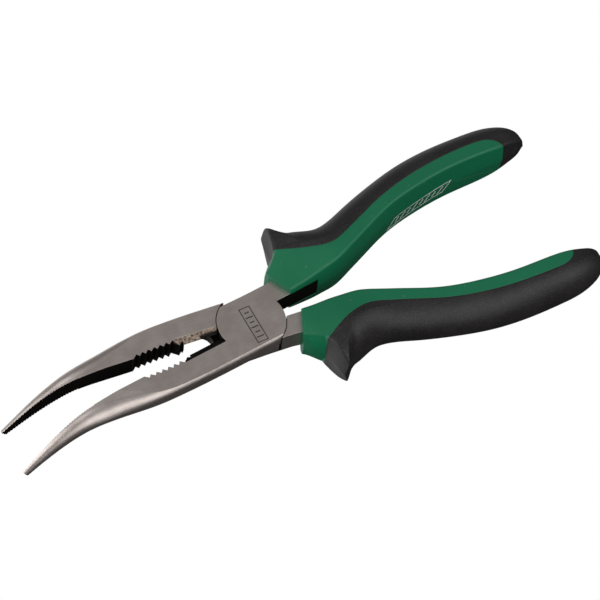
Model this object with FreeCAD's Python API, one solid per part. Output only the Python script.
import FreeCAD
import Part
import os
from math import radians, sin, cos, sqrt, hypot
from FreeCAD import Vector

# Bent long nose pliers, 200 mm class. Units are mm.
# Origin: pivot axis at the flat back face of the joint. +Z runs along the
# pivot axis to the front face, +X to the handles, the jaws bend to -Z.
# Each half is drawn closed with its jaw at -Y and its handle at +Y, then it
# is mirrored when needed and turned open by REST_ANGLE.

REST_ANGLE = 5.2            # each half, from the closed position

JOINT_T = 7.7               # thickness of the joint and of both tangs
LAP_GAP = 0.10              # between the two lap plates
LAP_R = 11.27               # round edge of each lap plate
ARC_GAP = 0.30              # between a lap plate and the other half
JAW_SIDE = 10.2             # jaw side of a lap plate, from the pivot
TANG_SIDE = 9.4             # tang side of a lap plate, from the pivot
GRIP_GAP = 0.02             # each grip face back from the middle plane

RIVET_R = 4.0               # shank
RIVET_FIT = 0.04            # running clearance in the back plate, radial
HEAD_R = 5.6                # head in the back plate and flare in the front
HEAD_T = 1.4
HEAD_GAP = 0.10
HEAD_FIT = 0.20             # clearance round the head, radial
FLARE_T = 1.6               # cone that locks the rivet in the front plate

TOOTH_PITCH = 2.1           # coarse pipe teeth
TOOTH_COUNT = 7
TOOTH_START = -40.5
TOOTH_RISE = 1.2            # tip to next valley along X
TOOTH_DEPTH = 1.15
FINE_PITCH = 0.9            # fine teeth of the needle
FINE_DEPTH = 0.24
FINE_COUNT = 30
FINE_START = -59.2

CUT_EDGE_Z = 6.3            # cutting edge height
CUT_FROM = -24.3            # cutter zone along X
CUT_BEVEL = 2.3             # front bevel depth
CUT_RELIEF = 4.6            # relief depth at the back face

MID = JOINT_T / 2.0
ARC_R = LAP_R + ARC_GAP


def face_of(points):
    return Part.Face(Part.makePolygon([Vector(*p) for p in points + points[:1]]))


def prism(points_xy, z0, z1):
    """Plan outline extruded from z0 to z1."""
    face = face_of([(x, y, z0) for x, y in points_xy])
    return face.extrude(Vector(0, 0, z1 - z0))


def spline_through(points):
    curve = Part.BSplineCurve()
    curve.interpolate([Vector(*p) for p in points])
    return curve.toShape()


def loft(sections, degree=3):
    return Part.makeLoft(sections, True, False, False, degree)


def box(x0, x1, y0, y1, z0, z1):
    return Part.makeBox(x1 - x0, y1 - y0, z1 - z0, Vector(x0, y0, z0))


def cylinder(radius, z0, z1):
    return Part.makeCylinder(radius, z1 - z0, Vector(0, 0, z0))


# ---------------------------------------------------------------- jaw blank

def jaw_section(x, z, lean, half, depth, wide, r_front, r_back, fall=0.0, over=1.5):
    """D section square to the jaw line: flat inside, rounded outside.
    The front rounding reaches wide inwards and r_front down the side.
    fall is the slope of the front line down to the outside."""
    a = radians(lean)
    drop = fall * (depth - wide)

    def at(y, n):
        return Vector(x - n * sin(a), y, z + n * cos(a))

    k = sqrt(0.5)
    p1 = at(over, half + fall * over)
    p2 = at(-(depth - wide), half - drop)
    m2 = at(-(depth - wide * (1 - k)), half - drop - r_front * (1 - k))
    p3 = at(-depth, half - drop - r_front)
    p4 = at(-depth, -(half - r_back))
    m4 = at(-(depth - r_back * (1 - k)), -(half - r_back * (1 - k)))
    p5 = at(-(depth - r_back), -half)
    p6 = at(over, -half)
    return Part.Wire([
        Part.LineSegment(p6, p1).toShape(),
        Part.LineSegment(p1, p2).toShape(),
        Part.Arc(p2, m2, p3).toShape(),
        Part.LineSegment(p3, p4).toShape(),
        Part.Arc(p4, m4, p5).toShape(),
        Part.LineSegment(p5, p6).toShape(),
    ])


FRONT_STOCK = 0.35          # stock above the front face, ground off flat
STRAIGHT_Z = (JOINT_T + FRONT_STOCK) / 2.0
STRAIGHT_H = STRAIGHT_Z

# x, z, lean, half height, depth, reach and radius of the front rounding,
# back radius, fall of the front
JAW_STATIONS = [(x, STRAIGHT_Z, 0, STRAIGHT_H, 10.2, 2.0, 2.0, 4.1, 0)
                for x in (20, 14, 8, 2, -4, -10)] + [
    (-16.0, STRAIGHT_Z, 0, STRAIGHT_H, 10.18, 2.0, 2.0, 4.1, 0),
    (-22.0, STRAIGHT_Z, 0, STRAIGHT_H, 10.1, 2.0, 2.0, 4.1, 0),
    (-28.0, STRAIGHT_Z, 0, STRAIGHT_H, 9.9, 2.1, 2.1, 4.0, 0),
    (-34.0, STRAIGHT_Z, 0, STRAIGHT_H, 9.55, 2.3, 2.3, 3.8, 0),
    (-40.0, STRAIGHT_Z, 0, STRAIGHT_H, 8.95, 2.8, 2.6, 3.5, 0.04),
    (-45.5, 4.0, 0, 3.98, 8.05, 3.6, 2.7, 3.3, 0.085),
    (-51.0, 3.85, 3, 3.77, 7.0, 4.4, 2.8, 3.0, 0.12),
    (-57.0, 3.42, 8, 3.40, 6.0, 4.7, 2.75, 2.8, 0.14),
    (-62.0, 2.45, 17, 3.18, 5.1, 4.2, 2.65, 2.6, 0.14),
    (-67.0, 0.32, 28, 2.90, 4.15, 3.5, 2.4, 2.3, 0.12),
    (-72.0, -2.80, 36, 2.48, 3.3, 2.8, 2.0, 1.9, 0.08),
    (-77.0, -6.65, 40, 1.96, 2.55, 2.15, 1.6, 1.5, 0.05),
    (-81.0, -10.12, 42, 1.52, 1.98, 1.65, 1.25, 1.15, 0.03),
    (-84.6, -13.35, 43, 1.08, 1.50, 1.2, 0.9, 0.8, 0.0),
]


def jaw_blank():
    solid = loft([jaw_section(*s) for s in JAW_STATIONS], 5)
    solid = solid.cut(box(-70, 20, -20, 20, JOINT_T, JOINT_T + 10))
    solid = solid.cut(box(-120, 40, -GRIP_GAP, 10, -40, 20))
    return solid


def tooth_line(x):
    """Grip line of the coarse teeth: a shallow hollow that holds a pipe."""
    span = TOOTH_PITCH * (TOOTH_COUNT - 1)
    t = (x - TOOTH_START) / span
    return -0.10 - 0.85 * sin(radians(90.0 * min(max(t, 0.0), 1.1)))


def coarse_teeth():
    points = [(TOOTH_START, 1.0), (TOOTH_START, tooth_line(TOOTH_START))]
    for i in range(TOOTH_COUNT):
        x = TOOTH_START + i * TOOTH_PITCH
        if i:
            points.append((x, tooth_line(x)))
        points.append((x + TOOTH_RISE, tooth_line(x) - TOOTH_DEPTH))
    points.append((CUT_FROM - 0.3, -0.30))
    points.append((CUT_FROM + 0.9, -1.4))
    points.append((CUT_FROM + 0.9, 1.0))
    return prism(points, -5, JOINT_T + 5)


def fine_teeth():
    points = [(FINE_START, 1.0), (FINE_START, -GRIP_GAP)]
    for i in range(FINE_COUNT):
        x = FINE_START - i * FINE_PITCH
        points.append((x - FINE_PITCH / 2.0, -FINE_DEPTH))
        points.append((x - FINE_PITCH, -GRIP_GAP))
    points.append((FINE_START - FINE_COUNT * FINE_PITCH, 1.0))
    return prism(points, -30, JOINT_T + 5)


def cutter_pocket():
    """Front bevel and back relief that leave one cutting edge."""
    def wedge(profile, x0, x1):
        face = face_of([(x0, y, z) for y, z in profile])
        return face.extrude(Vector(x1 - x0, 0, 0))

    bevel = wedge([(1, CUT_EDGE_Z - 0.6), (-GRIP_GAP, CUT_EDGE_Z),
                   (-CUT_BEVEL, JOINT_T), (-CUT_BEVEL, JOINT_T + 3),
                   (1, JOINT_T + 3)], CUT_FROM - 2.0, 0)
    relief = wedge([(1, CUT_EDGE_Z - 0.1), (-GRIP_GAP, CUT_EDGE_Z - 0.1),
                    (-CUT_RELIEF, -0.5), (-CUT_RELIEF, -3), (1, -3)],
                   CUT_FROM - 1.0, 0)
    ends = prism([(CUT_FROM - 0.2, 2), (CUT_FROM - 0.2, 0.4),
                  (CUT_FROM + 1.8, -1.6), (CUT_FROM + 2.4, -3.4),
                  (CUT_FROM + 3.4, -CUT_RELIEF - 1), (5, -CUT_RELIEF - 1),
                  (5, 2)], -4, JOINT_T + 4)
    return bevel.fuse(relief.common(ends))


# ---------------------------------------------------------------- steel half

# plan outline of the web that closes the cutter gap at the back plate
WEB_FRONT = [(-17.0, -7.0), (-16.4, -5.0), (-15.6, -3.6), (-14.8, -3.0),
             (-14.2, -2.3), (-13.7, -1.3), (-13.45, -0.3), (-13.3, 0.8),
             (-10.6, 1.2)]

TANG_INNER = [(27.2, 2.2), (27.2, 5.0), (38.0, 8.2), (50.0, 12.4),
              (62.0, 16.0), (76.0, 18.0), (92.0, 18.0)]
TANG_OUTER = [(92.0, 23.6), (76.0, 23.6), (60.0, 21.4), (46.0, 17.2),
              (34.0, 13.6), (24.0, 11.6), (16.5, 9.9), (11.0, TANG_SIDE)]


def steel_half(front):
    """One forging: jaw, lap plate and tang. front: its plate is on top."""
    jaw = jaw_blank()
    keep = cylinder(LAP_R, -5, JOINT_T + 5).fuse(box(-120, 0, -30, 30, -40, 20))
    jaw = jaw.common(keep)
    plan = prism([(-11.6, -0.02), (-11.6, TANG_SIDE + 0.4), (-4.0, TANG_SIDE + 0.2),
                  (11.0, TANG_SIDE - 0.2), (12.0, -JAW_SIDE + 2.4),
                  (0.0, -JAW_SIDE + 1.0), (-12.0, -JAW_SIDE + 3.0)], 0, JOINT_T)
    plate = cylinder(LAP_R, 0, JOINT_T).common(plan)
    tang = prism([(4.0, 2.2)] + TANG_INNER + TANG_OUTER + [(4.0, TANG_SIDE)],
                 0, JOINT_T)
    pocket = cutter_pocket()
    jaw = jaw.cut(coarse_teeth()).cut(fine_teeth())
    if front:
        recess = cylinder(ARC_R, -1, MID + LAP_GAP / 2.0)
        jaw = jaw.cut(pocket.common(box(-60, 0, -30, 30, -10, 20)))
    else:
        recess = cylinder(ARC_R, MID - LAP_GAP / 2.0, JOINT_T + 1)
        web = prism(WEB_FRONT + [(0, 3), (0, -6)], -10, MID - LAP_GAP / 2.0)
        nose = prism(WEB_FRONT[4:] + [(-8, 0), (-8, -3)], 0, MID - LAP_GAP / 2.0)
        jaw = jaw.cut(pocket.cut(web)).fuse(nose)
    body = jaw.fuse(plate).fuse(tang)
    body = body.cut(recess)
    return body.removeSplitter()


def place(shape, front):
    """Mirrors the back half and turns the half from closed to rest."""
    if not front:
        shape = shape.mirror(Vector(0, 0, 0), Vector(0, 1, 0))
    shape = shape.copy()
    turn = REST_ANGLE if front else -REST_ANGLE
    shape.rotate(Vector(0, 0, 0), Vector(0, 0, 1), turn)
    return shape


# ---------------------------------------------------------------- handles

# x, inner edge y, its height, top ridge y, its height, outer y
GRIP_STATIONS = [
    (9.0, 2.3, 5.3, 9.5, 5.5, 10.5),
    (14.0, 2.3, 5.6, 12.2, 6.1, 13.4),
    (19.0, 2.3, 6.2, 15.6, 7.9, 17.3),
    (24.0, 2.4, 6.9, 15.4, 9.3, 22.0),
    (28.0, 2.6, 7.5, 13.8, 9.9, 23.2),
    (32.0, 2.9, 8.0, 12.8, 9.9, 21.5),
    (37.0, 3.7, 8.5, 12.2, 9.3, 19.9),
    (43.0, 5.7, 8.6, 12.4, 8.8, 20.5),
    (50.0, 8.1, 8.6, 13.8, 8.8, 22.4),
    (60.0, 11.4, 8.6, 16.8, 8.7, 24.8),
    (72.0, 13.5, 8.6, 19.0, 8.6, 26.9),
    (84.0, 14.2, 8.6, 19.8, 8.6, 27.5),
    (96.0, 13.7, 8.6, 19.4, 8.5, 26.7),
    (105.0, 13.0, 7.8, 18.4, 7.9, 25.6),
    (110.0, 13.0, 6.7, 17.8, 7.1, 24.3),
    (113.6, 13.1, 5.4, 17.2, 5.9, 22.7),
    (116.2, 13.4, 3.9, 16.6, 4.3, 20.8),
    (117.6, 13.9, 2.3, 16.0, 2.6, 18.9),
]
SLEEVE_T = 2.2              # soft sleeve over the heart of the hard core
WALL_BULGE = 0.7            # inner wall stands out at its middle
CREASE_R = 0.9
SADDLE_R = 8.0              # hollow behind the guard
GUARD_RIM_R = 1.2


def grip_section(x, yi, zi, ym, zm, yo, shrink=0.0):
    def at(y, z):
        return Vector(x, y, MID + z)

    yi, zi, zm, yo = yi + shrink, zi - shrink, zm - shrink, yo - shrink
    wall = (yi - WALL_BULGE, 0.0)
    r = min(CREASE_R, 0.25 * zi, 0.25 * (ym - yi))
    up = hypot(yi - wall[0], zi)
    side = ((wall[0] - yi) / up, -zi / up)
    run = hypot(ym - yi, zm - zi)
    top = ((ym - yi) / run, (zm - zi) / run)
    a = (yi + side[0] * r, zi + side[1] * r)
    b = (yi + top[0] * r, zi + top[1] * r)
    m = (yi * 0.42 + (a[0] + b[0]) * 0.29, zi * 0.42 + (a[1] + b[1]) * 0.29)
    return Part.Wire([
        Part.LineSegment(at(*wall), at(*a)).toShape(),
        Part.Arc(at(*a), at(*m), at(*b)).toShape(),
        Part.LineSegment(at(*b), at(ym, zm)).toShape(),
        Part.Arc(at(ym, zm), at(yo, 0), at(ym, -zm)).toShape(),
        Part.LineSegment(at(ym, -zm), at(b[0], -b[1])).toShape(),
        Part.Arc(at(b[0], -b[1]), at(m[0], -m[1]), at(a[0], -a[1])).toShape(),
        Part.LineSegment(at(a[0], -a[1]), at(*wall)).toShape(),
    ])


# y, front x, front edge x, its height, ridge x, ridge height, rear x
GUARD_STATIONS = [
    (12.0, 19.4, 19.4, 6.8, 29.5, 9.4, 36.0),
    (16.0, 18.9, 18.8, 8.0, 27.2, 9.9, 34.6),
    (20.0, 19.7, 20.4, 8.6, 24.8, 9.5, 30.6),
    (23.5, 20.3, 21.6, 7.8, 23.5, 8.3, 26.4),
    (25.8, 20.9, 22.3, 6.3, 23.0, 6.6, 24.3),
    (27.2, 21.6, 22.4, 4.4, 22.7, 4.6, 23.2),
]


def guard_section(y, xf, edge, zf, xr, zr, xb):
    def at(x, z):
        return Vector(x, y, MID + z)

    return Part.Wire([
        Part.LineSegment(at(xf, 0), at(edge, zf)).toShape(),
        Part.LineSegment(at(edge, zf), at(xr, zr)).toShape(),
        Part.Arc(at(xr, zr), at(xb, 0), at(xr, -zr)).toShape(),
        Part.LineSegment(at(xr, -zr), at(edge, -zf)).toShape(),
        Part.LineSegment(at(edge, -zf), at(xf, 0)).toShape(),
    ])


# side view of the collar's lip under the tang, which tapers forward
LIP = [(16.0, 0.0), (16.0, -0.4), (26.0, -3.6)]

# plan line where the hard green core meets the soft black sleeve
SEAM = [(12.0, 19.6), (18.3, 17.6), (22.6, 15.0), (26.8, 12.6), (32.0, 10.5),
        (37.5, 9.6), (43.0, 10.8), (51.0, 13.3), (60.0, 16.1), (70.0, 18.1),
        (81.0, 19.1), (92.0, 19.0), (100.0, 18.4), (105.0, 17.2), (107.6, 15.0),
        (108.6, 12.0), (108.8, 8.0)]


def rounded(shape, radius, wanted):
    """Rounds the edges whose bounding box passes the wanted test."""
    return shape.makeFillet(radius, [e for e in shape.Edges if wanted(e.BoundBox)])


def handle_envelope():
    grip = loft([grip_section(*s) for s in GRIP_STATIONS])
    guard = loft([guard_section(*s) for s in GUARD_STATIONS])
    body = grip.fuse(guard)
    front = prism([(0, -20), (24.4, -20), (16.5, 2.0), (13.4, 10.6), (13.2, 13.0),
                   (11.0, 30), (0, 30)], -30, 30)
    body = body.cut(front)
    body = rounded(body, SADDLE_R, lambda b: 25.5 < b.XMin and b.XMax < 31 and b.ZLength > 15)
    return rounded(body, GUARD_RIM_R, lambda b: 17 < b.XMin and b.XMax < 23.5
                   and b.YLength > 8 and b.ZLength > 3)


def handle_parts():
    body = handle_envelope()
    seam = spline_through([(x, y, -30) for x, y in SEAM])
    first, last = SEAM[0], SEAM[-1]
    corners = [last, (last[0], -5.0), (0.0, -5.0), first]
    close = Part.makePolygon([Vector(x, y, -30) for x, y in corners])
    zone = Part.Face(Part.Wire([seam] + close.Edges)).extrude(Vector(0, 0, 60))
    heart = loft([grip_section(*s, shrink=SLEEVE_T) for s in GRIP_STATIONS[2:14]])
    core = body.common(zone).fuse(heart)
    sleeve = body.cut(core)
    return core, sleeve


# ---------------------------------------------------------------- rivet

def rivet():
    shank = cylinder(RIVET_R, 0, JOINT_T)
    head = cylinder(HEAD_R, 0, HEAD_T)
    flare = Part.makeCone(RIVET_R, HEAD_R, FLARE_T, Vector(0, 0, JOINT_T - FLARE_T))
    return shank.fuse(head).fuse(flare).removeSplitter()


def rivet_hole_back():
    shank = cylinder(RIVET_R + RIVET_FIT, -1, MID + 1)
    head = cylinder(HEAD_R + HEAD_FIT, -1, HEAD_T + HEAD_GAP)
    return shank.fuse(head)


def main():
    core, sleeve = handle_parts()
    collar_end, collar_y = TANG_INNER[1]
    window = box(0, collar_end, -10, collar_y + 0.1, -0.1, JOINT_T)
    clear = [(0.0, 0.0)] + LIP + [(LIP[-1][0], -30.0), (0.0, -30.0)]
    below = face_of([(x, -10.0, z) for x, z in clear]).extrude(Vector(0, collar_y + 10.0, 0))
    core = core.cut(window).cut(below)
    half_front = steel_half(True)
    half_back = steel_half(False)
    core_front = core.cut(half_front)
    pin = rivet()
    nodes = {
        "front_jaw_half": place(half_front.cut(pin), True),
        "back_jaw_half": place(half_back.cut(rivet_hole_back()), False),
        "pivot_rivet": place(pin, True),
        "upper_grip_core": place(core_front, True),
        "lower_grip_core": place(core_front, False),
        "upper_grip_sleeve": place(sleeve, True),
        "lower_grip_sleeve": place(sleeve, False),
    }
    os.makedirs("parts", exist_ok=True)
    for name, shape in nodes.items():
        solids = shape.Solids
        print(name, "solids", len(solids), "valid", shape.isValid(),
              "volume", round(shape.Volume, 1))
        if len(solids) == 1:
            shape = solids[0]
        shape.exportStep(os.path.join("parts", name + ".step"))


main()
